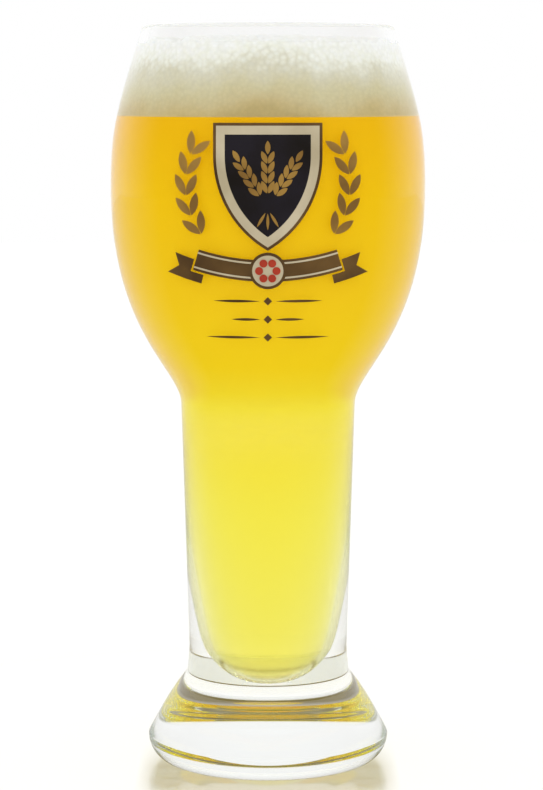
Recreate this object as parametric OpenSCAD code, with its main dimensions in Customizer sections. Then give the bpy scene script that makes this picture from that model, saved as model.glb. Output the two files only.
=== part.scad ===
// Wheat beer glass with a round bowl, filled: a blown body fused to a solid foot, the beer with
// its head of foam, and a badge printed on the front of the bowl in five inks.
// Millimetres, +Z up, origin on the table under the axis, badge facing -Y.

/* [Foot] */
// Widest diameter of the foot
foot_d = 70.6; // [62:0.2:90]
// Height of the widest line of the foot above the table
foot_edge_h = 7.9; // [5:0.1:12]
// Outside diameter of the ring that the glass rests on
rest_d = 56; // [44:0.5:60]
// Width of the resting ring
rest_w = 3; // [1:0.1:6]
// Depth of the hollow under the foot
kick_h = 3; // [1:0.1:6]
// Height of the foot, from the table to the edge of the fused joint
foot_h = 22.4; // [18:0.1:32]
// Diameter of the fused joint between foot and body
joint_d = 53.8; // [51:0.2:58]
// Depth of the dish in the foot that the body is fused into
joint_dip = 4; // [2:0.1:8]
// Length of the soft bend where the flank leaves the widest line
flank_bend = 0.5; // [0.5:0.1:4]
// Outward lean of the flank below the joint, in degrees from the vertical
flank_lean = 36; // [28:0.5:44]
// Reach of that lean below the joint
flank_run = 5; // [1:0.1:8]

/* [Shaft] */
// Height from the fused joint up to the narrowest line
neck_h = 12.6; // [10:0.1:16]
// Narrowest outside diameter of the shaft
neck_d = 46.4; // [40:0.1:49]
// Height of the shoulder, from the fused joint up to the crease
crease_h = 4.1; // [3:0.1:6]
// How far the shaft flares out from its narrowest line to the crease
crease_out = 0.6; // [0.2:0.05:1]
// Inward lean of the shaft above the crease, in degrees from the vertical
crease_lean = 4; // [2:0.5:8]
// Reach of the bends above the crease and below the narrowest line
neck_bend = 2.4; // [1:0.1:3]
// Length of the straight shaft
shaft_l = 70.5; // [50:0.5:100]
// Outside diameter at the waist, where the shaft meets the bowl
waist_d = 50.8; // [44:0.2:58]

/* [Bowl] */
// Height from the waist to the widest line of the bowl
bowl_rise = 63; // [50:0.5:80]
// Widest outside diameter of the bowl
belly_d = 91.2; // [78:0.2:110]
// Height from the widest line to the rim
crown_h = 46.5; // [32:0.5:60]
// Outside diameter at the rim
rim_d = 73; // [60:0.2:90]
// Inward lean of the wall at the rim, in degrees from the vertical
rim_lean = 16.8; // [5:0.1:25]
// Length of the soft bend at the waist
waist_bend = 10.5; // [6:0.5:18]
// Reach of the upright stretch below the widest line
belly_low = 42.5; // [25:0.5:50]
// Reach of the upright stretch above the widest line
belly_high = 18.5; // [10:0.5:26]
// Reach of the leaning stretch below the rim
rim_run = 24; // [10:0.5:30]

/* [Inside] */
// Thickness of the wall of bowl and shaft
wall = 2.2; // [1.6:0.1:3.2]
// Thickness of the body's floor on the axis, from the dish up to the cavity
floor_t = 5; // [3:0.1:8]
// Inside diameter at the lower end of the shaft's long taper
core_d = 28.4; // [24:0.2:32]
// Height of that lower end above the cavity floor
core_h = 20.6; // [14:0.2:28]
// Reach of the tapering stretch below that lower end
core_bend = 10; // [4:0.5:13]
// Diameter of the flattened cavity floor
floor_d = 23; // [14:0.5:26]

/* [Drink] */
// Gap from the rim down to the top of the foam
headspace = 3.5; // [2:0.1:10]
// Height of the foam in the middle
foam_h = 22.5; // [12:0.5:32]
// Rise of the foam's top from the wall to the middle
foam_dome = 1.5; // [0.5:0.1:4]

/* [Badge] */
// Thickness of one layer of ink
ink_t = 0.15; // [0.1:0.01:0.3]
// Drop of the badge's centre below the widest line of the bowl
badge_drop = 2; // [-6:0.5:10]
// Width of the shield
shield_w = 30; // [24:0.5:34]
// Height of the shield's top edge above the badge's centre
shield_top = 21; // [18:0.5:22]
// Height of the shield's shoulders above the badge's centre
shield_shoulder = 12; // [9:0.5:15]
// Radius of the shield's curved sides
shield_arc = 30; // [26:0.5:34]
// Width of the dark line around the shield
key_w = 0.8; // [0.4:0.1:1.4]
// Width of the shield's pale border
border_w = 2.4; // [1.2:0.1:3.5]
// Number of grain pairs in an ear
ear_pairs = 4; // [3:1:5]
// Length of a grain
grain_l = 3.7; // [2.8:0.1:4]
// Width of a grain
grain_w = 1.5; // [1:0.1:1.6]
// Distance between grain pairs
grain_pitch = 2.7; // [2.4:0.1:3]
// Gap between the lower ends of two paired grains
grain_gap = 0.4; // [0.2:0.1:0.8]
// Lean of the grains from the stalk, in degrees
grain_splay = 24; // [15:1:30]
// Length of stalk between the tie of the sheaf and the first grains
ear_rise = 6; // [5.5:0.1:7]
// Lean of the outer ears from the middle one, in degrees
sheaf_lean = 31; // [29:1:34]
// Drop of the sheaf's tie below the shield's shoulders
sheaf_drop = 14.5; // [14:0.1:16]
// Gap between the stalks and the tie of the sheaf
stalk_gap = 1.2; // [1:0.1:1.5]
// Length of the stalks below the tie of the sheaf
stalk_l = 4.6; // [3:0.1:5.5]
// Width of a stalk
stalk_w = 0.8; // [0.5:0.1:1.2]
// Gap from the shield's side to the line of the wreath
wreath_gap = 7.6; // [7:0.1:10]
// Rise of the wreath's middle above the badge's centre
wreath_lift = 4; // [3:0.1:5]
// Number of leaf pairs on each side of the wreath
wreath_pairs = 5; // [3:1:5]
// Angle between leaf pairs on the wreath, in degrees
wreath_step = 14.5; // [12:0.5:16]
// Length of a wreath leaf
leaf_l = 6.4; // [4:0.1:7]
// Width of a wreath leaf
leaf_w = 2.3; // [1.5:0.1:2.8]
// Gap between the lower ends of two paired leaves
leaf_gap = 0.3; // [0.2:0.1:0.8]
// Lean of the wreath leaves from the twig, in degrees
leaf_splay = 26; // [15:1:35]
// Radius along the middle of the ribbon
ribbon_r = 70; // [55:1:120]
// Width of the ribbon
ribbon_w = 6; // [4:0.1:7]
// Half angle that the ribbon spans, in degrees
ribbon_half = 16.5; // [12:0.5:18]
// Angle that each ribbon tail stands out, in degrees
tail_angle = 5; // [3:0.5:7]
// Angle that each ribbon tail reaches behind the ribbon, in degrees
tail_tuck = 2.5; // [1:0.5:4]
// Drop of the ribbon's tails below the ribbon
tail_drop = 3; // [2:0.1:4]
// Gap between the ribbon and its tails
tail_gap = 0.5; // [0.3:0.1:1]
// Depth of the notch in the ribbon's tails
tail_notch = 2.2; // [1:0.1:3]
// Width of the pale lines along the ribbon
line_w = 0.5; // [0.3:0.05:0.8]
// Distance of the pale lines from the ribbon's edges
line_inset = 0.7; // [0.4:0.05:1]
// Radius of the rosette's pale disc
rosette_r = 4.3; // [3.6:0.1:5]
// Radius of a rosette petal
petal_r = 1.1; // [0.8:0.05:1.15]
// Distance of the petals from the rosette's middle
petal_ring = 2.4; // [1.5:0.05:2.8]
// Gap between the shield's point and the rosette
rosette_gap = 0.5; // [0.3:0.1:2]
// Number of rosette petals
petals = 6; // [5:1:6]
// Gap from the rosette to the first row of ornament
rule_gap = 3.4; // [2:0.1:6]
// Distance between the rows of ornament
rule_pitch = 5.2; // [4:0.1:6]
// Length of each line beside the lozenge, row by row
rule_l = [13, 8, 15]; // [4:0.5:18]
// Thickness of the ornament lines
rule_w = 0.75; // [0.4:0.05:1.2]
// Size of the lozenges
lozenge = 1.7; // [1:0.1:2.4]
// Gap between a lozenge and its lines
lozenge_gap = 0.9; // [0.4:0.1:2]

/* [Hidden] */
$fn = 96;

// Heights, stacked up from the table
joint_z = foot_h;
neck_z = joint_z + neck_h;
waist_z = neck_z + shaft_l;
belly_z = waist_z + bowl_rise;
rim_z = belly_z + crown_h;
crease_z = joint_z + crease_h;
dish_z = joint_z - joint_dip;
floor_z = dish_z + floor_t;
core_z = floor_z + core_h;
foam_z = rim_z - headspace;
foam_edge_z = foam_z - foam_dome;
beer_z = foam_z - foam_h;
badge_z = belly_z - badge_drop;

// Lines of the badge, from its centre
boss_r = rosette_r + key_w;
shield_side = shield_arc - shield_w / 2;
shield_tip = shield_shoulder - sqrt(shield_arc * shield_arc - shield_side * shield_side);
sheaf_y = shield_shoulder - sheaf_drop;
grain_side = (grain_l * sin(grain_splay) + grain_gap) / 2;
wreath_r = shield_w / 2 + wreath_gap;
wreath_reach = wreath_r + leaf_l;
leaf_side = (leaf_l * sin(leaf_splay) + leaf_gap) / 2;
ribbon_y = shield_tip - rosette_gap - boss_r;
ribbon_in = ribbon_r - ribbon_w / 2;
ribbon_out = ribbon_r + ribbon_w / 2;
ribbon_low = ribbon_y - ribbon_w - tail_drop;
ribbon_top = ribbon_y + ribbon_w + ribbon_r * (1 - cos(ribbon_half + tail_angle));
tail_gap_angle = atan(tail_gap / ribbon_r);
tail_notch_angle = atan(tail_notch / ribbon_r);
rule_y = ribbon_y - boss_r - rule_gap;
rules_low = rule_y - len(rule_l) * rule_pitch;

// Radii of the outside
foot_r = foot_d / 2;
rest_r = rest_d / 2;
joint_r = joint_d / 2;
neck_r = neck_d / 2;
crease_r = neck_r + crease_out;
waist_r = waist_d / 2;
belly_r = belly_d / 2;
rim_r = rim_d / 2;

// Margin of the printing bands beyond the figures
print_margin = 1;

// Steps along each curved stretch of the outline
edge_steps = 8;
flank_steps = 8;
neck_steps = 8;
bowl_steps = 16;
crown_steps = 10;
cavity_steps = 12;
dish_steps = 6;
kick_steps = 6;
rim_steps = 8;
dome_steps = 8;

// Point at parameter t on a cubic curve with end points p[0], p[3] and handles p[1], p[2]
function cubic(p, t) =
  pow(1 - t, 3) * p[0] + 3 * t * pow(1 - t, 2) * p[1] + 3 * t * t * (1 - t) * p[2] + pow(t, 3) * p[3];

// Points along a cubic curve, without its first point
function curve(p, steps) = [for (i = [1:steps]) cubic(p, i / steps)];

// Unit vector that points down and outwards at an angle from the vertical
function down_out(angle) = [sin(angle), -cos(angle)];

// List in the opposite order
function reversed(list) = [for (i = [len(list) - 1:-1:0]) list[i]];

// Outward direction of an outline that runs upwards, at point i
function outward(list, i) =
  let (
    before = list[max(i - 1, 0)],
    after = list[min(i + 1, len(list) - 1)],
    run = (after - before) / norm(after - before)
  )
  [run[1], -run[0]];

// Outline shifted inwards by the wall
function inside_of(list, depth) = [for (i = [0:len(list) - 1]) list[i] - depth * outward(list, i)];

// Radius of an upward outline at height z
function radius_at(list, z) = lookup(z, [for (p = list) [p[1], p[0]]]);

// The stretch of an upward outline between two heights, cut exactly at both
function stretch(list, low, high) = concat(
  [[radius_at(list, low), low]],
  [for (p = list) if (p[1] > low && p[1] < high) p],
  [[radius_at(list, high), high]]
);

// Line from the axis out along a spherical cap of a given radius and rise
function cap(radius, rise, steps) =
  let (
    sphere = (radius * radius + rise * rise) / (2 * rise),
    span = asin(radius / sphere)
  )
  [
    for (i = [0:steps])
      let (a = span * i / steps)
      [sphere * sin(a), sphere * (1 - cos(a))]
  ];

// Foot: hollow underside, resting ring, rounded edge and flank up to the joint, and the dish
kick_r = rest_r - rest_w;
underside = [for (p = cap(kick_r, kick_h, kick_steps)) [p[0], kick_h - p[1]]];
dish = [for (p = cap(joint_r, joint_dip, dish_steps)) [p[0], dish_z + p[1]]];
edge = [
  for (i = [0:edge_steps])
    let (a = 90 * i / edge_steps)
    [rest_r + (foot_r - rest_r) * sin(a), foot_edge_h * (1 - cos(a))]
];
edge_point = [foot_r, foot_edge_h];
joint_point = [joint_r, joint_z];
flank = curve(
  [
    edge_point,
    edge_point + [0, flank_bend],
    joint_point + flank_run * down_out(flank_lean),
    joint_point
  ],
  flank_steps
);

// Body outside: shoulder, neck, straight shaft, bowl and crown, each going upwards
shaft_slope = [(waist_r - neck_r) / shaft_l, 1];
crease_point = [crease_r, crease_z];
neck_point = [neck_r, neck_z];
waist_point = [waist_r, waist_z];
belly_point = [belly_r, belly_z];
rim_round = wall / 2;
rim_point = [rim_r, rim_z - rim_round * (1 - sin(rim_lean))];
neck = curve(
  [
    crease_point,
    crease_point - neck_bend * down_out(crease_lean),
    neck_point - neck_bend * shaft_slope,
    neck_point
  ],
  neck_steps
);
bowl = curve(
  [
    waist_point,
    waist_point + waist_bend * shaft_slope,
    belly_point - [0, belly_low],
    belly_point
  ],
  bowl_steps
);
crown = curve(
  [
    belly_point,
    belly_point + [0, belly_high],
    rim_point + rim_run * down_out(rim_lean),
    rim_point
  ],
  crown_steps
);
thin_wall = concat([waist_point], bowl, crown);
outside = concat([joint_point, crease_point], neck, thin_wall);

// Body inside: rounded cavity floor, long straight taper up to the waist, then the wall's inner face
inner_wall = inside_of(thin_wall, wall);
core_point = [core_d / 2, core_z];
taper_run = (inner_wall[0] - core_point) / norm(inner_wall[0] - core_point);
cavity = curve(
  [
    [0, floor_z],
    [floor_d / 2, floor_z],
    core_point - core_bend * taper_run,
    core_point
  ],
  cavity_steps
);
inside = concat([[0, floor_z]], cavity, inner_wall);

// Rounded rim, from the outer face over to the inner face
rim_normal = outward(thin_wall, len(thin_wall) - 1);
rim_centre = rim_point - rim_round * rim_normal;
rim_start = atan2(rim_normal[1], rim_normal[0]);
rim_arc = [
  for (i = [1:rim_steps - 1])
    let (a = rim_start + 180 * i / rim_steps)
    rim_centre + rim_round * [cos(a), sin(a)]
];

// Blown bowl and shaft, one wall of clear glass
module glass_body() {
  color("lightcyan")
    rotate_extrude()
      polygon(concat(dish, [crease_point], neck, thin_wall, rim_arc, reversed(inside)));
}

// Solid foot, with the dish that the body is fused into
module glass_foot() {
  color("powderblue")
    rotate_extrude()
      polygon(concat(underside, edge, flank, [for (i = [dish_steps - 1:-1:0]) dish[i]]));
}

// Beer, filling the cavity up to the foam
module beer() {
  color("orange")
    rotate_extrude()
      polygon(concat(stretch(inside, floor_z, beer_z), [[0, beer_z]]));
}

// Head of foam between the beer and the headspace, with a slightly domed top
module foam_head() {
  foam_r = radius_at(inside, foam_edge_z);
  dome = curve(
    [
      [foam_r, foam_edge_z],
      [foam_r, foam_z],
      [foam_r / 2, foam_z],
      [0, foam_z]
    ],
    dome_steps
  );
  color("ivory")
    rotate_extrude()
      polygon(concat([[0, beer_z]], stretch(inside, beer_z, foam_edge_z), dome));
}

// Skin of one ink layer on the front of the bowl, cut to the flat figure given as child, which
// lies between two heights from the badge's centre. Layer 0 lies on the glass, and each further
// layer on the one below.
module printed(layer, low, high) {
  strip = stretch(outside, badge_z + low - print_margin, badge_z + high + print_margin);
  under = layer * ink_t;
  intersection() {
    rotate_extrude()
      polygon(concat(
        [for (p = strip) p + [under, 0]],
        reversed([for (p = strip) p + [under + ink_t, 0]])
      ));
    translate([0, 0, badge_z])
      rotate([90, 0, 0])
        linear_extrude(belly_d)
          children();
  }
}

// Shield with a straight top and two curved sides that meet in a point
module shield(inset) {
  half = shield_w / 2 - inset;
  translate([-half, shield_shoulder])
    square([2 * half, shield_top - shield_shoulder - inset]);
  intersection() {
    translate([-half, shield_shoulder - shield_arc])
      square([2 * half, shield_arc]);
    translate([shield_side, shield_shoulder])
      circle(shield_arc - inset);
    translate([-shield_side, shield_shoulder])
      circle(shield_arc - inset);
  }
}

// Pointed leaf between two arcs, upright and centred
module leaf(length, width) {
  r = (length * length + width * width) / (4 * width);
  intersection() {
    translate([r - width / 2, 0])
      circle(r);
    translate([width / 2 - r, 0])
      circle(r);
  }
}

// Ear of grain above the origin: pairs of grains and one at the tip
module ear() {
  for (i = [0:ear_pairs - 1])
    for (side = [-1, 1])
      translate([side * grain_side, ear_rise + i * grain_pitch])
        rotate(-side * grain_splay)
          leaf(grain_l, grain_w);
  translate([0, ear_rise + ear_pairs * grain_pitch])
    leaf(grain_l, grain_w);
}

// Three ears that spread from a tie, with their stalks below it
module sheaf() {
  translate([0, sheaf_y])
    for (turn = [-1, 0, 1])
      rotate(turn * sheaf_lean) {
        ear();
        translate([0, -stalk_gap - stalk_l / 2])
          leaf(stalk_l, stalk_w);
      }
}

// One side of the wreath: leaf pairs along an arc around the shield
module wreath_side() {
  first = -wreath_step * (wreath_pairs - 1) / 2;
  translate([0, wreath_lift])
    for (i = [0:wreath_pairs - 1])
      for (side = [-1, 1])
        rotate(first + i * wreath_step)
          translate([wreath_r + side * leaf_side, 0])
            rotate(-side * leaf_splay)
              leaf(leaf_l, leaf_w);
}

// Arched band between two radii and two angles from straight down, about the ribbon's centre
module band(inner, outer, from, to) {
  reach = 2 * outer;
  translate([0, ribbon_y + ribbon_r])
    intersection() {
      difference() {
        circle(outer);
        circle(inner);
      }
      polygon([[0, 0], reach * down_out(from), reach * down_out(to)]);
    }
}

// Point about the ribbon's centre, at a radius and an angle from straight down
function on_arc(radius, angle) = [0, ribbon_y + ribbon_r] + radius * down_out(angle);

// Folded end of the ribbon on the right, set lower and notched, with a gap to the ribbon
module ribbon_tail() {
  tail_start = ribbon_half - tail_tuck;
  tail_end = ribbon_half + tail_angle;
  beside = ribbon_half + tail_gap_angle;
  polygon([
    on_arc(ribbon_out + tail_gap, tail_start),
    on_arc(ribbon_out + tail_drop, tail_start),
    on_arc(ribbon_out + tail_drop, tail_end),
    on_arc(ribbon_r + tail_drop, tail_end - tail_notch_angle),
    on_arc(ribbon_in + tail_drop, tail_end),
    on_arc(ribbon_in + tail_drop, beside),
    on_arc(ribbon_out + tail_gap, beside)
  ]);
}

// Pale lines along both edges of the ribbon
module ribbon_lines() {
  for (line_r = [ribbon_in + line_inset, ribbon_out - line_inset - line_w])
    band(line_r, line_r + line_w, -ribbon_half, ribbon_half);
}

// Rows of ornament: a lozenge with a tapering line on each side
module rules() {
  for (row = [0:len(rule_l) - 1])
    translate([0, rule_y - row * rule_pitch]) {
      rotate(45)
        square(lozenge, center = true);
      for (side = [-1, 1])
        translate([side * (lozenge / sqrt(2) + lozenge_gap + rule_l[row] / 2), 0])
          rotate(90)
            leaf(rule_l[row], rule_w);
    }
}

// Disc at the middle of the ribbon
module boss(radius) {
  translate([0, ribbon_y])
    circle(radius);
}

// Pale ink: the shield's border, the ribbon's lines and the rosette's disc
module badge_cream() {
  color("wheat") {
    printed(0, shield_tip, shield_top)
      difference() {
        shield(key_w);
        shield(key_w + border_w);
      }
    printed(1, ribbon_low, ribbon_top) {
      difference() {
        ribbon_lines();
        boss(boss_r);
      }
      boss(rosette_r);
    }
  }
}

// Dark blue ink: the field of the shield
module badge_navy() {
  color("midnightblue")
    printed(0, shield_tip, shield_top)
      shield(key_w + border_w);
}

// Gold ink: the sheaf on the field and the wreath on both sides
module badge_gold() {
  color("darkgoldenrod") {
    printed(1, shield_tip, shield_top)
      sheaf();
    printed(0, -wreath_reach, wreath_reach)
      wreath_side();
    printed(0, -wreath_reach, wreath_reach)
      mirror([1, 0])
        wreath_side();
  }
}

// Brown ink: the line around the shield, the ribbon with its boss and tails, and the ornament
module badge_brown() {
  color("saddlebrown") {
    printed(0, shield_tip, shield_top)
      difference() {
        shield(0);
        shield(key_w);
      }
    printed(0, ribbon_low, ribbon_top) {
      band(ribbon_in, ribbon_out, -ribbon_half, ribbon_half);
      boss(boss_r);
    }
    printed(0, ribbon_low, ribbon_top)
      ribbon_tail();
    printed(0, ribbon_low, ribbon_top)
      mirror([1, 0])
        ribbon_tail();
    printed(0, rules_low, rule_y + lozenge)
      rules();
  }
}

// Red ink: the petals of the rosette
module badge_red() {
  color("firebrick")
    printed(2, ribbon_y - rosette_r, ribbon_y + rosette_r)
      translate([0, ribbon_y])
        for (i = [0:petals - 1])
          rotate(360 * i / petals)
            translate([petal_ring, 0])
              circle(petal_r);
}

glass_body();
glass_foot();
beer();
foam_head();
badge_cream();
badge_navy();
badge_gold();
badge_brown();
badge_red();
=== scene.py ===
"""Looks of a filled wheat beer glass: clear glass, beer, foam, a badge in five fired inks, and its studio.
Lengths are in millimetres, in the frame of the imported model, and become metres where Blender takes them."""

import bmesh
import bpy
import numpy as np
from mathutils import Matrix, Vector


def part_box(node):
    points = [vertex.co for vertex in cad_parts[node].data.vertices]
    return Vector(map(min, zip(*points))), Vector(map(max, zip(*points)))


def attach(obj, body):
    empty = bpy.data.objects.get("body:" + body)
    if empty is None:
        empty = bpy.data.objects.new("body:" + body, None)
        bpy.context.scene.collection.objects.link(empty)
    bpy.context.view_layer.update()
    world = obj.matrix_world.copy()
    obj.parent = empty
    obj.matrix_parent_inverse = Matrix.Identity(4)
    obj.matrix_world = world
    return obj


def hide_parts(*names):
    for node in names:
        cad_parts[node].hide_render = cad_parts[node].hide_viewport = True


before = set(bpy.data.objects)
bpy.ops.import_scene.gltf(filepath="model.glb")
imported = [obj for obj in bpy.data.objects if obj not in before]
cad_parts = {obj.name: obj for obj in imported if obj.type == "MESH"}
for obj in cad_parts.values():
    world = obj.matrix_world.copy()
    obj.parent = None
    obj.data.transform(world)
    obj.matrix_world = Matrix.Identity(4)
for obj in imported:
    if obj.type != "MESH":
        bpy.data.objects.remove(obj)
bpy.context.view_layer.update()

# Metres in a millimetre, points in a ring around the axis, and the seed of the bubbles
MM = 0.001
COLUMNS = 192
SEED = 7


def top_of(node):
    """Height of a node's highest point, in millimetres."""
    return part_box(node)[1].z / MM


def bottom_of(node):
    """Height of a node's lowest point, in millimetres."""
    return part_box(node)[0].z / MM


def half_width_of(node):
    """Half of a node's width, in millimetres."""
    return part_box(node)[1].x / MM


# Heights and widest radii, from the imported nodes
JOINT_Z = top_of("glass_foot")
RIM_Z = top_of("glass_body")
FLOOR_Z = bottom_of("beer")
BEER_Z = top_of("beer")
FOAM_Z = top_of("foam_head")
FOOT_R = half_width_of("glass_foot")
BELLY_R = half_width_of("glass_body")

# Foot and neck
FOOT_EDGE_H = 7.9
REST_R = 28.0
REST_W = 3.0
KICK_H = 3.0
JOINT_R = 26.9
FLANK_BEND = 0.5
FLANK_LEAN = np.radians(36)
FLANK_RUN = 5.0
CREASE_H = 4.1
CREASE_OUT = 0.6
CREASE_LEAN = np.radians(4)
NECK_H = 12.6
NECK_R = 23.2
NECK_BEND = 2.4

# Shaft, bowl and wall
SHAFT_L = 70.5
WAIST_R = 25.4
WAIST_BEND = 10.5
BOWL_RISE = 63.0
BELLY_LOW = 42.5
BELLY_HIGH = 18.5
RIM_R = 36.5
RIM_LEAN = np.radians(16.8)
RIM_RUN = 24.0
WALL = 2.2
CORE_R = 14.2
CORE_H = 20.6
CORE_BEND = 10.0
FLOOR_R = 11.5

# Points along each stretch of the outline
FOOT_POINTS = 24
RING_POINTS = 4
SHOULDER_POINTS = 6
NECK_POINTS = 24
SHAFT_POINTS = 24
BOWL_POINTS = 64
CROWN_POINTS = 40
RIM_POINTS = 14
CAVITY_POINTS = 48
TAPER_POINTS = 24
LEVEL_POINTS = 12
DOME_POINTS = 70

# Meshes: distance in metres within which points are one, and the angle from which an edge is sharp
WELD = 1e-7
SHARP = np.radians(50)

# Drink: how far beer and foam wet the inner face of the glass, the dome of the foam and the bubbles on it
BEER_SOAK = 0.12
FOAM_SOAK = 0.16
FOAM_DOME = 1.5
BUBBLES = 700
BUBBLE_SIZE = (0.5, 1.9)
BUBBLE_SHARE = 0.6
BUBBLE_SINK = 0.6

# Beer: tint by height, from the cavity floor at 0 to the foam at 1
BEER_TINT = (
    (0.0, (1.0, 1.0, 0.66, 1.0)),
    (0.1, (1.0, 1.0, 0.63, 1.0)),
    (0.3, (1.0, 0.99, 0.56, 1.0)),
    (0.41, (1.0, 0.955, 0.49, 1.0)),
    (0.46, (1.0, 0.935, 0.27, 1.0)),
    (0.5, (1.0, 0.92, 0.125, 1.0)),
    (0.53, (1.0, 0.885, 0.06, 1.0)),
    (0.58, (1.0, 0.82, 0.025, 1.0)),
    (0.72, (1.0, 0.76, 0.025, 1.0)),
    (0.86, (1.0, 0.73, 0.012, 1.0)),
    (1.0, (0.96, 0.63, 0.01, 1.0)),
)
# Beer: share of light that passes in the clear shaft and in the cloudy bowl, the heights between which
# it changes, and how far these are uneven
BEER_PASS = (0.95, 0.55)
CLOUD_SPAN = (0.42, 0.51)
CLOUD_UNEVEN = 0.035
# Beer: roughness from sediment at the floor and above it, roughness added by the cloud, and their heights
SEDIMENT_ROUGH = (0.22, 0.1)
SEDIMENT_SPAN = (0.03, 0.2)
CLOUD_ROUGH = 0.13
CLOUD_ROUGH_SPAN = (0.4, 0.65)

# Beer and glass: colour of the depth, how dense that is per metre, and the tint of light that passes straight
BEER_DEPTH = (0.999, 0.952, 0.0, 1.0)
BEER_DENSITY = 63.0
BEER_SHADE = (0.99, 0.97, 0.9, 1.0)
GLASS_DEPTH = (0.82, 0.92, 0.88, 1.0)
GLASS_DENSITY = 3.0
GLASS_SHADE = (0.99, 1.0, 0.995, 1.0)

# Sockets of a mix node that take its two colours and give the mix
MIX_FIRST = 6
MIX_SECOND = 7
MIX_RESULT = 2

# Light: the backdrop, the dim warm room in front that the glass mirrors, the directions between which
# the one becomes the other, those between which the ceiling begins, and its share of the backdrop
WHITE = (1.0, 1.0, 1.0, 1.0)
ROOM = (0.19, 0.135, 0.025, 1.0)
BACKDROP_Y = (-0.1, 0.8)
CEILING_Z = (0.2, 0.8)
CEILING_SHARE = 0.25

# Table: half its side, its place below the foot, its white and the painted amber shadow before the foot,
# which stands for light through the beer; the distances over which that painted shadow fades at its sides, at
# its back and away from the axis; the gloss with the distances over which it fades, and the glow that keeps
# the white
TABLE_HALF = 3000.0
TABLE_DROP = 0.05
TABLE_WHITE = (0.93, 0.93, 0.915, 1.0)
PAINTED_SHADOW_COLOUR = (0.55, 0.49, 0.3, 1.0)
PAINTED_SHADOW_SIDE = (32.0, 38.0)
PAINTED_SHADOW_BACK = (-12.0, 20.0)
PAINTED_SHADOW_REACH = (44.0, 66.0)
GLOSS_REACH = (60.0, 160.0)
TABLE_GLOSS = 0.5
TABLE_GLOW = 0.12

# Camera: place, downward tilt in degrees, lens and height of the sensor
CAMERA_PLACE = (1.02, -785.5, 192.3)
CAMERA_TILT = 6.13
LENS = 123.0
SENSOR_H = 36.0

# Bounces that light makes inside the glass, and the clear surfaces that it passes straight through
GLASS_BOUNCES = 64
STRAIGHT_BOUNCES = 24

# Badge: layers of ink and the shield
INK_T = 0.15
INK_GRIP = 0.03
BADGE_DROP = 2.0
SHIELD_W = 30.0
SHIELD_TOP = 21.0
SHIELD_SHOULDER = 12.0
SHIELD_ARC = 30.0
KEY_W = 0.8
BORDER_W = 2.4

# Badge: sheaf and wreath
EAR_PAIRS = 4
GRAIN_L = 3.7
GRAIN_W = 1.5
GRAIN_PITCH = 2.7
GRAIN_GAP = 0.4
GRAIN_SPLAY = 24.0
EAR_RISE = 6.0
SHEAF_LEAN = 31.0
SHEAF_DROP = 14.5
STALK_GAP = 1.2
STALK_L = 4.6
STALK_W = 0.8
WREATH_GAP = 7.6
WREATH_LIFT = 4.0
WREATH_PAIRS = 5
WREATH_STEP = 14.5
LEAF_L = 6.4
LEAF_W = 2.3
LEAF_GAP = 0.3
LEAF_SPLAY = 26.0

# Badge: ribbon, rosette and rows of ornament
RIBBON_R = 70.0
RIBBON_W = 6.0
RIBBON_HALF = np.radians(16.5)
TAIL_ANGLE = np.radians(5)
TAIL_TUCK = np.radians(2.5)
TAIL_DROP = 3.0
TAIL_GAP = 0.5
TAIL_NOTCH = 2.2
LINE_W = 0.5
LINE_INSET = 0.7
ROSETTE_R = 4.3
PETAL_R = 1.1
PETAL_RING = 2.4
PETALS = 6
ROSETTE_GAP = 0.5
RULE_GAP = 3.4
RULE_PITCH = 5.2
RULE_L = (13.0, 8.0, 15.0)
RULE_W = 0.75
LOZENGE = 1.7
LOZENGE_GAP = 0.9

# Derived heights of the glass and lines of the badge
NECK_Z = JOINT_Z + NECK_H
WAIST_Z = NECK_Z + SHAFT_L
BELLY_Z = WAIST_Z + BOWL_RISE
CORE_Z = FLOOR_Z + CORE_H
FOAM_EDGE_Z = FOAM_Z - FOAM_DOME
BADGE_Z = BELLY_Z - BADGE_DROP
BOSS_R = ROSETTE_R + KEY_W
SHIELD_SIDE = SHIELD_ARC - SHIELD_W / 2
SHIELD_TIP = SHIELD_SHOULDER - np.sqrt(SHIELD_ARC**2 - SHIELD_SIDE**2)
SHEAF_Y = SHIELD_SHOULDER - SHEAF_DROP
GRAIN_SIDE = (GRAIN_L * np.sin(np.radians(GRAIN_SPLAY)) + GRAIN_GAP) / 2
LEAF_SIDE = (LEAF_L * np.sin(np.radians(LEAF_SPLAY)) + LEAF_GAP) / 2
WREATH_R = SHIELD_W / 2 + WREATH_GAP
RIBBON_Y = SHIELD_TIP - ROSETTE_GAP - BOSS_R
RIBBON_IN = RIBBON_R - RIBBON_W / 2
RIBBON_OUT = RIBBON_R + RIBBON_W / 2
RULE_Y = RIBBON_Y - BOSS_R - RULE_GAP


def metres(lengths):
    """Lengths in millimetres as metres."""
    return [length * MM for length in lengths]


def at(radius, height):
    """Point of an outline, as (radius, height)."""
    return np.array([radius, height], float)


def cubic(start, leave, arrive, end, count):
    """Cubic curve: four points weighed by (1-t)^3, 3t(1-t)^2, 3t^2(1-t) and t^3, for count values of t
    from 0 to 1."""
    t = np.linspace(0, 1, count)[:, None]
    return (1 - t) ** 3 * start + 3 * t * (1 - t) ** 2 * leave + 3 * t**2 * (1 - t) * arrive + t**3 * end


def joined(*stretches):
    """One line out of stretches that follow each other; each later stretch drops its first point."""
    return np.vstack([stretches[0]] + [stretch[1:] for stretch in stretches[1:]])


def outward(line):
    """Unit normals of a line that runs upwards: its direction turned a quarter turn to the right."""
    run = np.gradient(line, axis=0)
    run /= np.linalg.norm(run, axis=1)[:, None]
    return np.stack([run[:, 1], -run[:, 0]], axis=1)


def down_out(angle):
    """Unit vector that points down and outwards at an angle from the vertical."""
    return np.array([np.sin(angle), -np.cos(angle)])


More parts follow.
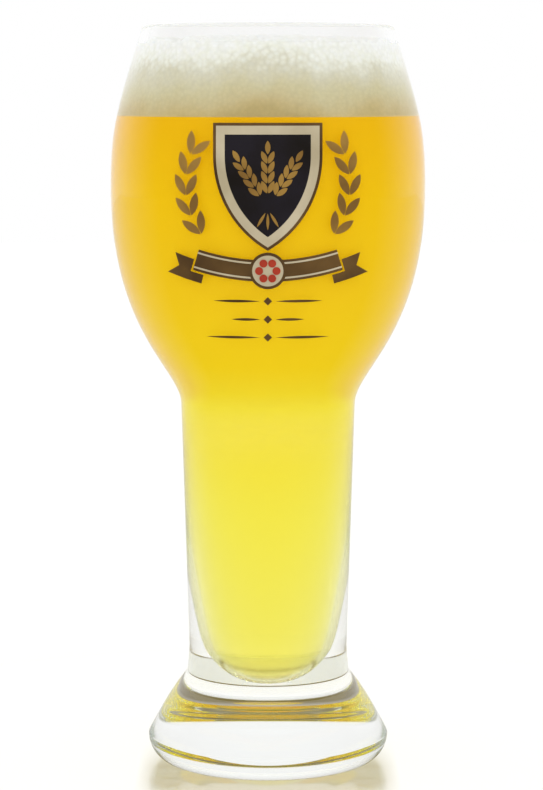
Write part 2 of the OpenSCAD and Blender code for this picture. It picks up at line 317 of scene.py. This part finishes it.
def foot_line():
    """Foot from the axis to the joint: spherical hollow, flat resting ring, quarter ellipse of the edge, and
    the flank as a cubic curve."""
    kick_r = REST_R - REST_W
    sphere = (kick_r**2 + KICK_H**2) / (2 * KICK_H)
    turn = np.linspace(0, np.arcsin(kick_r / sphere), FOOT_POINTS)
    hollow = np.stack([sphere * np.sin(turn), KICK_H - sphere * (1 - np.cos(turn))], axis=1)
    ring = np.linspace(at(kick_r, 0), at(REST_R, 0), RING_POINTS)
    turn = np.linspace(0, np.pi / 2, FOOT_POINTS)
    edge_out = REST_R + (FOOT_R - REST_R) * np.sin(turn)
    edge = np.stack([edge_out, FOOT_EDGE_H * (1 - np.cos(turn))], axis=1)
    joint = at(JOINT_R, JOINT_Z)
    widest = at(FOOT_R, FOOT_EDGE_H)
    below_joint = joint + FLANK_RUN * down_out(FLANK_LEAN)
    flank = cubic(widest, widest + at(0, FLANK_BEND), below_joint, joint, FOOT_POINTS)
    return joined(hollow, ring, edge, flank)


def wall_lines():
    """Outside of the body from joint to rim, and its inside from the cavity floor to the rim.
    The outside is a straight shoulder, a cubic neck, a straight shaft, and cubic curves of bowl and crown.
    The inside of bowl and crown is the outside shifted inwards along its normals by the wall. From the point
    of it that leans out least from the core, a straight taper runs down to the core, and a cubic curve
    closes the cavity floor."""
    joint = at(JOINT_R, JOINT_Z)
    crease = at(NECK_R + CREASE_OUT, JOINT_Z + CREASE_H)
    neck = at(NECK_R, NECK_Z)
    waist = at(WAIST_R, WAIST_Z)
    belly = at(BELLY_R, BELLY_Z)
    rim = at(RIM_R, RIM_Z - WALL / 2 * (1 - np.sin(RIM_LEAN)))
    slope = (waist - neck) / SHAFT_L
    shoulder = np.linspace(joint, crease, SHOULDER_POINTS)
    above_crease = crease - NECK_BEND * down_out(CREASE_LEAN)
    flare = cubic(crease, above_crease, neck - NECK_BEND * slope, neck, NECK_POINTS)
    shaft = np.linspace(neck, waist, SHAFT_POINTS)
    bowl = cubic(waist, waist + WAIST_BEND * slope, belly - at(0, BELLY_LOW), belly, BOWL_POINTS)
    below_rim = rim + RIM_RUN * down_out(RIM_LEAN)
    crown = cubic(belly, belly + at(0, BELLY_HIGH), below_rim, rim, CROWN_POINTS)
    outside = joined(shoulder, flare, shaft, bowl, crown)
    upper = joined(bowl, crown)
    inner_wall = upper - WALL * outward(upper)
    core = at(CORE_R, CORE_Z)
    lean = (inner_wall - core)[:, 0] / (inner_wall - core)[:, 1]
    inner_wall = inner_wall[np.argmin(lean[:len(bowl) // 2]):]
    taper_run = (inner_wall[0] - core) / np.linalg.norm(inner_wall[0] - core)
    cavity = cubic(at(0, FLOOR_Z), at(FLOOR_R, FLOOR_Z), core - CORE_BEND * taper_run, core, CAVITY_POINTS)
    taper = np.linspace(core, inner_wall[0], TAPER_POINTS)
    return outside, joined(cavity, taper, inner_wall)


OUTSIDE, INSIDE = wall_lines()


def rim_line():
    """Rounded rim: half a circle from the outer to the inner face."""
    middle = (OUTSIDE[-1] + INSIDE[-1]) / 2
    across = OUTSIDE[-1] - middle
    turn = np.linspace(0, np.pi, RIM_POINTS)[:, None]
    return middle + np.cos(turn) * across + np.sin(turn) * np.array([-across[1], across[0]])


def stretch_of(line, low, high):
    """Part of an upward line between two heights, cut at both."""
    kept = line[(line[:, 1] > low) & (line[:, 1] < high)]
    ends = [at(np.interp(z, line[:, 1], line[:, 0]), z) for z in (low, high)]
    return np.vstack([ends[:1], kept, ends[1:]])


def rings(line):
    """Surface of revolution: each (radius, height) of the line becomes a ring of points at even angles."""
    angle = np.linspace(0, 2 * np.pi, COLUMNS, endpoint=False)
    x = line[:, :1] * np.cos(angle)
    y = line[:, :1] * np.sin(angle)
    z = np.broadcast_to(line[:, 1:], x.shape)
    return np.stack([x, y, z], axis=2)


def ring_faces(count):
    """Quads between neighbouring rings, closed around the axis; put_mesh welds a ring of no radius."""
    index = np.arange(count * COLUMNS).reshape(count, COLUMNS)
    after = np.roll(index, -1, axis=1)
    return np.stack([index[:-1], after[:-1], after[1:], index[1:]], axis=2).reshape(-1, 4)


def put_mesh(name, points, faces, finish, slot, *nodes):
    """Object from points in millimetres and quads: doubles welded, faces turned outwards, smooth but for
    sharp edges. It rides on the one body and stands for the nodes named."""
    mesh = bpy.data.meshes.new(name)
    mesh.from_pydata((points.reshape(-1, 3) * MM).tolist(), [], faces.tolist())
    shell = bmesh.new()
    shell.from_mesh(mesh)
    bmesh.ops.remove_doubles(shell, verts=shell.verts, dist=WELD)
    bmesh.ops.recalc_face_normals(shell, faces=shell.faces)
    shell.to_mesh(mesh)
    shell.free()
    mesh.shade_smooth()
    mesh.set_sharp_from_angle(angle=SHARP)
    mesh.materials.append(finish)
    piece = bpy.data.objects.new(name, mesh)
    bpy.context.scene.collection.objects.link(piece)
    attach(piece, "root")
    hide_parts(*nodes)


class Wiring:
    """A node tree, built a node at a time."""

    def __init__(self, tree):
        self.tree = tree

    def link(self, source, socket):
        """Joins an output to an input."""
        self.tree.links.new(source, socket)

    def node(self, kind, links=(), **values):
        """Adds a node; values set its properties or its sockets, links feed its sockets by name or number.
        In the name of a value an underscore stands for a space."""
        node = self.tree.nodes.new(kind)
        for name, value in values.items():
            if hasattr(node, name):
                setattr(node, name, value)
            else:
                node.inputs[name.replace("_", " ")].default_value = value
        for socket, source in dict(links).items():
            self.link(source, node.inputs[socket])
        return node

    def math(self, operation, *sources):
        """Result of an operation on one or two values; a missing second value is one half."""
        return self.node("ShaderNodeMath", enumerate(sources), operation=operation).outputs["Value"]

    def product(self, first, second):
        """Product of two values."""
        return self.math("MULTIPLY", first, second)

    def total(self, first, second):
        """Sum of two values."""
        return self.math("ADD", first, second)

    def split(self, source):
        """Outputs X, Y and Z of a vector."""
        return self.node("ShaderNodeSeparateXYZ", {"Vector": source}).outputs

    def span(self, source, low, high, start=0.0, end=1.0, curve="LINEAR"):
        """A value moved from the range start..end to the range low..high, and kept inside that."""
        ends = {"From_Min": start, "From_Max": end, "To_Min": low, "To_Max": high}
        node = self.node("ShaderNodeMapRange", {"Value": source}, interpolation_type=curve, **ends)
        return node.outputs["Result"]

    def ramp(self, source, stops):
        """Colour ramp with stops of (position, colour)."""
        node = self.node("ShaderNodeValToRGB", {"Fac": source})
        elements = node.color_ramp.elements
        while len(elements) < len(stops):
            elements.new(0.5)
        for element, (position, colour) in zip(elements, stops):
            element.position = position
            element.color = colour
        return node.outputs["Color"]

    def blend(self, share, first, second):
        """Mix of two colours, each plain or from a node, by a share of the second."""
        node = self.node("ShaderNodeMix", {0: share}, data_type="RGBA")
        for socket, colour in ((MIX_FIRST, first), (MIX_SECOND, second)):
            if isinstance(colour, tuple):
                node.inputs[socket].default_value = colour
            else:
                self.link(colour, node.inputs[socket])
        return node.outputs[MIX_RESULT]

    def tinted(self, colour, value):
        """A colour times a value."""
        links = {MIX_FIRST: colour, MIX_SECOND: value}
        node = self.node("ShaderNodeMix", links, data_type="RGBA", blend_type="MULTIPLY", Factor=1.0)
        return node.outputs[MIX_RESULT]

    def mirrored_light(self):
        """1 on a path that glass or gloss has mirrored and no dull surface has scattered, and else 0."""
        path = self.node("ShaderNodeLightPath").outputs
        mirrored_path = self.math("GREATER_THAN", path["Glossy Depth"])
        first_light = self.math("LESS_THAN", path["Diffuse Depth"])
        return self.product(mirrored_path, first_light)


class Finish(Wiring):
    """A node material with one Principled shader."""

    def __init__(self, name):
        self.material = bpy.data.materials.new(name)
        self.material.use_nodes = True
        super().__init__(self.material.node_tree)
        self.shader = self.tree.nodes["Principled BSDF"]
        self.output = self.tree.nodes["Material Output"]

    def set(self, **values):
        """Sets sockets of the shader; an underscore stands for a space."""
        for name, value in values.items():
            self.shader.inputs[name.replace("_", " ")].default_value = value
        return self

    def feed(self, source, name):
        """Joins an output to a socket of the shader."""
        self.link(source, self.shader.inputs[name])

    def place(self):
        """Object coordinates, in metres."""
        return self.node("ShaderNodeTexCoord").outputs["Object"]

    def noise(self, scale, detail=2.0):
        """Value of a noise over Object coordinates, with scale cells to the metre."""
        texture = self.node("ShaderNodeTexNoise", {"Vector": self.place()}, Scale=scale, Detail=detail)
        return texture.outputs["Fac"]

    def cells(self, scale):
        """Distance to the nearest of scattered points, with scale points to the metre."""
        texture = self.node("ShaderNodeTexVoronoi", {"Vector": self.place()}, Scale=scale)
        return texture.outputs["Distance"]

    def height(self, low, high):
        """Height on the glass from 0 at low to 1 at high, both in millimetres."""
        return self.span(self.split(self.place())["Z"], 0, 1, *metres((low, high)))

    def bump(self, source, strength, distance):
        """Relief from a value, on the shader's normal; distance in millimetres."""
        node = self.node("ShaderNodeBump", {"Height": source}, Strength=strength, Distance=distance * MM)
        self.feed(node.outputs["Normal"], "Normal")

    def depth(self, colour, density):
        """Colour that light takes on inside the material, by its density per metre."""
        node = self.node("ShaderNodeVolumeAbsorption", Color=colour, Density=density)
        self.link(node.outputs["Volume"], self.output.inputs["Volume"])

    def let_light_in(self, tint):
        """Shadow and diffuse rays pass straight through, tinted, so that light reaches what is behind."""
        path = self.node("ShaderNodeLightPath").outputs
        straight = self.node("ShaderNodeBsdfTransparent", Color=tint).outputs["BSDF"]
        shader = self.shader.outputs["BSDF"]
        for kind in ("Is Diffuse Ray", "Is Shadow Ray"):
            mix = self.node("ShaderNodeMixShader", {0: path[kind], 1: shader, 2: straight})
            shader = mix.outputs["Shader"]
        self.link(shader, self.output.inputs["Surface"])


def paint(red, green, blue):
    """Linear colour from a swatch's red, green and blue, each 0 to 255, by the usual curve of screens."""
    swatch = np.array([red, green, blue]) / 255
    linear = np.where(swatch <= 0.04045, swatch / 12.92, ((swatch + 0.055) / 1.055) ** 2.4)
    return (*linear.tolist(), 1.0)


def clear_glass():
    """Clear soda glass: faint ripples of the blown wall, a breath of roughness and a slight green depth."""
    glass = Finish("clear_glass").set(Transmission_Weight=1.0, IOR=1.5, Base_Color=WHITE)
    glass.feed(glass.span(glass.noise(scale=60), low=0.0, high=0.02, start=-0.2, end=1.2), "Roughness")
    glass.bump(glass.noise(scale=30, detail=0.0), strength=0.03, distance=0.2)
    glass.depth(GLASS_DEPTH, GLASS_DENSITY)
    glass.let_light_in(GLASS_SHADE)
    return glass.material


def cloudy_beer():
    """Wheat beer: pale and clear in the shaft with sediment at its floor, amber and cloudy in the bowl.
    The cloud begins unevenly, grain by grain, so that no level line shows. With depth the beer
    absorbs blue and some green."""
    beer = Finish("cloudy_beer").set(IOR=1.34, Specular_IOR_Level=0.0, Specular_Tint=(0.15, 0.15, 0.15, 1))
    height = beer.height(FLOOR_Z, BEER_Z)
    beer.feed(beer.ramp(height, BEER_TINT), "Base Color")
    grain = beer.noise(scale=12000, detail=0.0)
    uneven = beer.span(grain, -CLOUD_UNEVEN, CLOUD_UNEVEN, start=0.25, end=0.75)
    beer.feed(beer.span(beer.total(height, uneven), *BEER_PASS, *CLOUD_SPAN), "Transmission Weight")
    sediment = beer.span(height, *SEDIMENT_ROUGH, *SEDIMENT_SPAN)
    haze = beer.total(sediment, beer.span(height, 0, CLOUD_ROUGH, *CLOUD_ROUGH_SPAN))
    drift = beer.span(beer.noise(scale=40), low=0.85, high=1.15)
    beer.feed(beer.product(haze, drift), "Roughness")
    beer.depth(BEER_DEPTH, BEER_DENSITY)
    beer.let_light_in(BEER_SHADE)
    return beer.material


def foam_finish():
    """Wheat beer foam: beige and dense by the beer, white and lumpy at the top, with fine cells in colour and
    relief. Its colour by height holds painted shade that deepens it towards the beer; where it faces the
    front it has painted shade, and its sides and underside have painted light."""
    foam = Finish("foam").set(Roughness=0.85, Specular_IOR_Level=0.2)
    foam.set(Subsurface_Weight=0.3, Subsurface_Scale=0.003, Subsurface_Radius=(1.0, 0.9, 0.7))
    # Colour by height: beige by the beer and white at the top, with painted shade that deepens towards the
    # beer
    tone_and_painted_shade = (
        (0.0, paint(196, 176, 122)),
        (0.12, paint(206, 188, 138)),
        (0.33, paint(214, 205, 166)),
        (0.55, paint(222, 218, 196)),
        (0.76, paint(246, 246, 235)),
        (1.0, paint(255, 255, 252)),
    )
    height = foam.height(BEER_Z, FOAM_Z)
    drift = foam.span(foam.noise(scale=90, detail=3.0), low=-0.08, high=0.08, start=0.3, end=0.7)
    lumps = foam.span(foam.cells(scale=620), low=0.1, high=-0.06, start=0.1, end=0.75)
    lumps = foam.product(lumps, foam.span(height, 0, 1, start=0.42, end=0.72))
    facing = foam.split(foam.node("ShaderNodeNewGeometry").outputs["Normal"])
    # Painted shade where the foam faces the front, and painted light on its sides
    middle = foam.span(facing["Y"], low=-0.09, high=0.05, start=-0.97, end=-0.9)
    level = foam.total(foam.total(height, middle), foam.total(drift, lumps))
    # Painted light on the foam's underside, standing for light scattered up through the beer
    painted_underside_light = foam.span(facing["Z"], 1, 0, start=-0.8, end=-0.5)
    colour = foam.blend(painted_underside_light, foam.ramp(level, tone_and_painted_shade), paint(255, 250, 232))
    cells = foam.cells(scale=900)
    speckled = foam.tinted(colour, foam.span(cells, low=1.03, high=0.93))
    foam.feed(speckled, "Base Color")
    foam.bump(cells, strength=0.25, distance=0.3)
    return foam.material


def enamel(name, light, dark):
    """Fired ink: its colour drifts between two shades, with a fine printed grain in gloss and relief."""
    ink = Finish(name).set(Specular_IOR_Level=0.4, Coat_Weight=0.3, Coat_Roughness=0.15)
    drift = ink.span(ink.noise(scale=60, detail=4.0), 0, 1, start=0.35, end=0.65)
    ink.feed(ink.ramp(drift, ((0.0, dark), (1.0, light))), "Base Color")
    grain = ink.noise(scale=2600, detail=1.0)
    ink.feed(ink.span(grain, low=0.3, high=0.5), "Roughness")
    ink.bump(grain, strength=0.15, distance=0.05)
    return ink.material


def glass_piece():
    """The whole glass as one closed surface of revolution: foot, outside, rim, inside to the cavity floor."""
    line = joined(foot_line(), OUTSIDE, rim_line(), INSIDE[::-1])
    faces = ring_faces(len(line))
    put_mesh("glass", rings(line), faces, clear_glass(), "clear_glass", "glass_body", "glass_foot")


def beer_piece():
    """Beer: the inside line up to the foam, wetting the glass by a hair, closed by a level top."""
    wall = stretch_of(INSIDE, FLOOR_Z, BEER_Z)
    wet = wall + BEER_SOAK * outward(wall)
    wet[0] = at(0, FLOOR_Z - BEER_SOAK)
    wet[-1, 1] = BEER_Z
    line = joined(wet, np.linspace(wet[-1], at(0, BEER_Z), LEVEL_POINTS))
    put_mesh("beer_fill", rings(line), ring_faces(len(line)), cloudy_beer(), "beer", "beer")


def bubble_relief(x, y, reach):
    """Height of a bed of bubbles: at each point the tallest of many round caps, sqrt(size^2 - distance^2)."""
    draw = np.random.default_rng(SEED)
    angle = draw.uniform(0, 2 * np.pi, BUBBLES)
    from_axis = reach * np.sqrt(draw.uniform(0, 1, BUBBLES))
    size = BUBBLE_SIZE[0] + (BUBBLE_SIZE[1] - BUBBLE_SIZE[0]) * draw.uniform(0, 1, BUBBLES) ** 2
    gap = (x[..., None] - from_axis * np.cos(angle)) ** 2 + (y[..., None] - from_axis * np.sin(angle)) ** 2
    return np.sqrt(np.clip(size**2 - gap, 0, None)).max(axis=-1)


def foam_piece():
    """Foam: the inside line from the beer to the foam's edge, then a dome as a cubic curve. On the dome lies
    a bed of bubbles, sunk into it by a little."""
    wall = stretch_of(INSIDE, BEER_Z - FOAM_SOAK, FOAM_EDGE_Z)
    wall += FOAM_SOAK * outward(wall)
    base = np.linspace(at(0, wall[0, 1]), wall[0], LEVEL_POINTS)
    rim = wall[-1]
    dome = cubic(rim, at(rim[0], FOAM_Z), at(rim[0] / 2, FOAM_Z), at(0, FOAM_Z), DOME_POINTS)
    points = rings(joined(base, wall, dome))
    top = points[-len(dome):]
    top[..., 2] += BUBBLE_SHARE * bubble_relief(top[..., 0], top[..., 1], rim[0]) - BUBBLE_SINK
    put_mesh("foam", points, ring_faces(len(points)), foam_finish(), "foam", "foam_head")


def on_bowl(flat, lift):
    """Flat figure points (x, y) carried straight back onto the front of the bowl, lift millimetres off it:
    the depth is -sqrt(radius^2 - x^2), with the bowl's radius at that height."""
    z = BADGE_Z + flat[..., 1]
    radius = np.interp(z, OUTSIDE[:, 1], OUTSIDE[:, 0]) + lift
    return np.stack([flat[..., 0], -np.sqrt(radius**2 - flat[..., 0] ** 2), z], axis=-1)


def skin(flat, layer, ring=False):
    """Closed skin of ink over a grid of flat points: the grid on the bowl at two lifts, walled along its open
    edges. A ring has its first and last rows in the same place, and they are welded instead of walled."""
    count = flat.shape[0] * flat.shape[1]
    points = np.concatenate([
        on_bowl(flat, (layer + 1) * INK_T).reshape(-1, 3),
        on_bowl(flat, layer * INK_T - INK_GRIP).reshape(-1, 3),
    ])
    index = np.arange(count).reshape(flat.shape[:2])
    corners = [index[:-1, :-1], index[1:, :-1], index[1:, 1:], index[:-1, 1:]]
    face = np.stack(corners, axis=2).reshape(-1, 4)
    borders = [index[:, 0], index[:, -1]] + ([] if ring else [index[0], index[-1]])
    walls = [np.stack([b[:-1], b[1:], b[1:] + count, b[:-1] + count], axis=1) for b in borders]
    return points, np.concatenate([face, face + count] + walls)


def ink_piece(name, finish, slot, node, skins):
    """One ink: all its skins in one object."""
    starts = np.cumsum([0] + [len(points) for points, _ in skins[:-1]])
    points = np.concatenate([points for points, _ in skins])
    faces = np.concatenate([faces + start for (_, faces), start in zip(skins, starts)])
    put_mesh(name, points, faces, finish, slot, node)


def moved(flat, x=0.0, y=0.0, turn=0.0):
    """Figure turned by an angle in degrees and then shifted."""
    angle = np.radians(turn)
    spin = np.array([[np.cos(angle), np.sin(angle)], [-np.sin(angle), np.cos(angle)]])
    return flat @ spin + np.array([x, y])


def mirrored(flat):
    """Figure mirrored left to right."""
    return flat * np.array([-1.0, 1.0])


def both(flats):
    """Figures and their mirror images."""
    return flats + [mirrored(flat) for flat in flats]


def leaf(length, width, rows=12, across=4):
    """Pointed leaf between two arcs: half width sqrt(r^2 - y^2) - (r - width/2) along its length."""
    r = (length**2 + width**2) / (4 * width)
    y = length / 2 * np.sin(np.linspace(-np.pi / 2, np.pi / 2, rows + 1))[:, None]
    half = np.sqrt(r**2 - y**2) - (r - width / 2)
    x = half * np.linspace(-1, 1, across + 1)
    return np.stack([x, np.broadcast_to(y, x.shape)], axis=2)


def square(steps):
    """Square grid of (u, v), both from -1 to 1."""
    side = np.linspace(-1, 1, steps + 1)
    return np.meshgrid(side, side, indexing="ij")


def disc(radius, steps=16):
    """Round disc from a square grid (u, v): x = u sqrt(1 - v^2/2), y = v sqrt(1 - u^2/2)."""
    u, v = square(steps)
    return radius * np.stack([u * np.sqrt(1 - v**2 / 2), v * np.sqrt(1 - u**2 / 2)], axis=2)


def shield_half(y, inset):
    """Half width of the shield at height y: straight above the shoulders, below an arc about the far side."""
    drop = np.clip(SHIELD_SHOULDER - y, 0, None)
    reach = SHIELD_ARC - inset
    return np.sqrt(np.clip(reach**2 - drop**2, SHIELD_SIDE**2, None)) - SHIELD_SIDE


def shield_tip(inset):
    """Height of the shield's point for an inset outline."""
    return SHIELD_SHOULDER - np.sqrt((SHIELD_ARC - inset) ** 2 - SHIELD_SIDE**2)


def shield_field(inset, rows=36, across=20):
    """Whole shield: rows from top to point, each spread to the half width there."""
    y = np.linspace(SHIELD_TOP - inset, shield_tip(inset), rows + 1)[:, None]
    x = shield_half(y, inset) * np.linspace(-1, 1, across + 1)
    return np.stack([x, np.broadcast_to(y, x.shape)], axis=2)


def shield_outline(inset, top_points=12, side_points=8, arc_points=32):
    """Closed outline of the shield, clockwise from the middle of its top: half the top, a side, the other
    side and back."""
    top = SHIELD_TOP - inset
    half = shield_half(top, inset)
    edge = np.stack([np.linspace(0, half, top_points), np.full(top_points, top)], axis=1)
    y = np.concatenate([
        np.linspace(top, SHIELD_SHOULDER, side_points),
        np.linspace(SHIELD_SHOULDER, shield_tip(inset), arc_points)[1:],
    ])
    side = np.stack([shield_half(y, inset), y], axis=1)
    right = joined(edge, side)
    return joined(right, mirrored(right)[::-1])


def shield_ring(outer, inner, across=2):
    """Band between two insets of the shield: matching outlines side by side, at even steps between."""
    share = np.linspace(0, 1, across + 1)[:, None]
    return (1 - share) * shield_outline(outer)[:, None] + share * shield_outline(inner)[:, None]


def ear():
    """Ear of grain above its tie: leaning pairs of grains and one at the tip."""
    grain = leaf(GRAIN_L, GRAIN_W)
    pairs = [
        moved(grain, side * GRAIN_SIDE, EAR_RISE + i * GRAIN_PITCH, -side * GRAIN_SPLAY)
        for i in range(EAR_PAIRS)
        for side in (-1, 1)
    ]
    return pairs + [moved(grain, 0, EAR_RISE + EAR_PAIRS * GRAIN_PITCH)]


def sheaf():
    """Three ears spreading from the tie, with their stalks below it."""
    stalk = moved(leaf(STALK_L, STALK_W), 0, -STALK_GAP - STALK_L / 2)
    one = ear() + [stalk]
    leans = (-SHEAF_LEAN, 0, SHEAF_LEAN)
    return [moved(moved(flat, turn=lean), 0, SHEAF_Y) for lean in leans for flat in one]


def wreath():
    """Leaf pairs along an arc on each side of the shield."""
    blade = leaf(LEAF_L, LEAF_W)
    pair = [moved(blade, WREATH_R + side * LEAF_SIDE, 0, -side * LEAF_SPLAY) for side in (-1, 1)]
    turns = WREATH_STEP * (np.arange(WREATH_PAIRS) - (WREATH_PAIRS - 1) / 2)
    return both([moved(moved(flat, turn=turn), 0, WREATH_LIFT) for turn in turns for flat in pair])


def arc_grid(radius, angle):
    """Points about the ribbon's centre at each radius and angle from straight down."""
    radius, angle = np.broadcast_arrays(radius, angle)
    return np.stack([radius * np.sin(angle), RIBBON_Y + RIBBON_R - radius * np.cos(angle)], axis=-1)


def ribbon_band(inner, outer, along=24, across=6):
    """Right half of a band along the ribbon: at each radius the angle runs from the boss to the ribbon's end.
    A radius meets the boss where cos(angle) = (radius^2 + ribbon^2 - boss^2) / (2 radius ribbon)."""
    radius = np.linspace(inner, outer, across + 1)[None, :]
    start = np.arccos((radius**2 + RIBBON_R**2 - BOSS_R**2) / (2 * radius * RIBBON_R))
    share = np.linspace(0, 1, along + 1)[:, None]
    return arc_grid(radius, start + share * (RIBBON_HALF - start))


def ribbon_tail(tuck_along=5, tuck_across=3, along=8, across=8):
    """Folded right end of the ribbon: a strip under the ribbon and a lower end with a notch, as two grids."""
    beside = RIBBON_HALF + TAIL_GAP / RIBBON_R
    tuck = arc_grid(
        np.linspace(RIBBON_OUT + TAIL_GAP, RIBBON_OUT + TAIL_DROP, tuck_across + 1)[None, :],
        np.linspace(RIBBON_HALF - TAIL_TUCK, beside, tuck_along + 1)[:, None],
    )
    radius = np.linspace(RIBBON_IN, RIBBON_OUT, across + 1)[None, :]
    notch = TAIL_NOTCH / RIBBON_R * (1 - np.abs(radius - RIBBON_R) / (RIBBON_W / 2))
    end = RIBBON_HALF + TAIL_ANGLE - notch
    share = np.linspace(0, 1, along + 1)[:, None]
    return [tuck, arc_grid(radius + TAIL_DROP, beside + share * (end - beside))]


def rosette_petals():
    """Round petals in a ring about the rosette's middle."""
    petal = moved(disc(PETAL_R, steps=8), PETAL_RING)
    turns = np.arange(PETALS) * 360 / PETALS
    return [moved(moved(petal, turn=turn), 0, RIBBON_Y) for turn in turns]


def ornament():
    """Rows of ornament: a lozenge with a tapering line on each side."""
    corner = LOZENGE / np.sqrt(2)
    lozenge = moved(LOZENGE / 2 * np.stack(square(2), axis=2), turn=45)
    flats = []
    for row, length in enumerate(RULE_L):
        y = RULE_Y - row * RULE_PITCH
        line = moved(leaf(length, RULE_W, rows=24, across=2), corner + LOZENGE_GAP + length / 2, y, 90)
        flats += [moved(lozenge, 0, y), line, mirrored(line)]
    return flats


def badge_pieces():
    """The five inks, each with its skins in their layers."""
    lines = [RIBBON_IN + LINE_INSET, RIBBON_OUT - LINE_INSET - LINE_W]
    pale_lines = both([ribbon_band(radius, radius + LINE_W, across=2) for radius in lines])
    boss = moved(disc(BOSS_R), 0, RIBBON_Y)
    rosette = moved(disc(ROSETTE_R), 0, RIBBON_Y)
    ribbon = both([ribbon_band(RIBBON_IN, RIBBON_OUT)] + ribbon_tail())
    cream = [skin(shield_ring(KEY_W, KEY_W + BORDER_W), 0, ring=True), skin(rosette, 1)]
    cream += [skin(flat, 1) for flat in pale_lines]
    navy = [skin(shield_field(KEY_W + BORDER_W), 0)]
    gold = [skin(flat, 1) for flat in sheaf()] + [skin(flat, 0) for flat in wreath()]
    brown = [skin(shield_ring(0, KEY_W), 0, ring=True), skin(boss, 0)]
    brown += [skin(flat, 0) for flat in ribbon + ornament()]
    red = [skin(flat, 2) for flat in rosette_petals()]
    inks = (
        ("ink_cream", "cream_ink", "badge_cream", paint(206, 193, 163), paint(184, 170, 138), cream),
        ("ink_navy", "navy_ink", "badge_navy", paint(26, 24, 44), paint(14, 12, 26), navy),
        ("ink_gold", "gold_ink", "badge_gold", paint(168, 128, 52), paint(128, 92, 32), gold),
        ("ink_brown", "brown_ink", "badge_brown", paint(110, 80, 36), paint(72, 48, 20), brown),
        ("ink_red", "red_ink", "badge_red", paint(196, 62, 30), paint(160, 36, 20), red),
    )
    for name, slot, node, light, dark, skins in inks:
        ink_piece(name, enamel(slot, light, dark), slot, node, skins)


def white_table():
    """Glossy white table with a painted amber shadow before the foot, standing for light that passes through
    the beer. It is bright to the camera and through the glass, and what the glass mirrors of its front is as
    dim as the room."""
    table = Finish("white_table").set(Emission_Color=WHITE)
    place = table.place()
    across = table.split(place)
    away = table.node("ShaderNodeVectorMath", {0: place}, operation="LENGTH").outputs["Value"]
    # Painted amber shadow before the foot, standing for light through the beer, soft at its sides, back and
    # reach
    beside = table.span(table.math("ABSOLUTE", across["X"]), 1, 0, *metres(PAINTED_SHADOW_SIDE))
    before = table.span(across["Y"], 1, 0, *metres(PAINTED_SHADOW_BACK))
    near = table.span(away, 1, 0, *metres(PAINTED_SHADOW_REACH))
    painted_shadow = table.product(table.product(beside, before), near)
    bearing = table.node("ShaderNodeVectorMath", {0: place}, operation="NORMALIZE").outputs["Vector"]
    front = table.span(table.split(bearing)["Y"], 1, 0, *BACKDROP_Y)
    dim = table.product(table.mirrored_light(), front)
    table.feed(table.blend(dim, table.blend(painted_shadow, TABLE_WHITE, PAINTED_SHADOW_COLOUR), ROOM), "Base Color")
    table.feed(table.span(table.noise(scale=30), low=0.1, high=0.16), "Roughness")
    table.feed(table.span(away, TABLE_GLOSS, 0, *metres(GLOSS_REACH)), "Specular IOR Level")
    path = table.node("ShaderNodeLightPath").outputs
    seen = table.math("MAXIMUM", path["Is Camera Ray"], path["Is Transmission Ray"])
    table.feed(table.span(seen, 0, TABLE_GLOW), "Emission Strength")
    return table.material


def studio_floor():
    """Top of the table: one square, a hair below the foot, that keeps the shadow of the glass."""
    half, low = metres((TABLE_HALF, -TABLE_DROP))
    corners = [(-half, -half, low), (half, -half, low), (half, half, low), (-half, half, low)]
    mesh = bpy.data.meshes.new("floor")
    mesh.from_pydata(corners, [], [(0, 1, 2, 3)])
    mesh.materials.append(white_table())
    floor = bpy.data.objects.new("floor", mesh)
    bpy.context.scene.collection.objects.link(floor)


def studio_world():
    """White surround; in the glass its front side is a darker room, which draws the glass's edges."""
    world = bpy.data.worlds.new("studio")
    bpy.context.scene.world = world
    world.use_nodes = True
    studio = Wiring(world.node_tree)
    towards = studio.split(studio.node("ShaderNodeTexCoord").outputs["Generated"])
    backdrop = studio.span(towards["Y"], 0, 1, *BACKDROP_Y, curve="SMOOTHSTEP")
    ceiling = studio.span(towards["Z"], 0, CEILING_SHARE, *CEILING_Z, curve="SMOOTHSTEP")
    room = studio.blend(studio.total(backdrop, ceiling), ROOM, WHITE)
    colour = studio.blend(studio.mirrored_light(), WHITE, room)
    studio.link(colour, world.node_tree.nodes["Background"].inputs["Color"])


def studio_camera():
    """Camera in front of the badge and a little above the middle of the bowl, tilted down."""
    lens = bpy.data.cameras.new("camera")
    lens.sensor_fit = "VERTICAL"
    lens.sensor_height = SENSOR_H
    lens.lens = LENS
    camera = bpy.data.objects.new("camera", lens)
    camera.location = metres(CAMERA_PLACE)
    camera.rotation_euler = (np.radians(90 - CAMERA_TILT), 0, 0)
    bpy.context.scene.collection.objects.link(camera)
    bpy.context.scene.camera = camera


studio_camera()
glass_piece()
beer_piece()
foam_piece()
badge_pieces()
studio_floor()
studio_world()
bpy.context.scene.view_settings.view_transform = "Standard"
bpy.context.scene.cycles.max_bounces = GLASS_BOUNCES
bpy.context.scene.cycles.glossy_bounces = GLASS_BOUNCES
bpy.context.scene.cycles.transmission_bounces = GLASS_BOUNCES
bpy.context.scene.cycles.transparent_max_bounces = STRAIGHT_BOUNCES
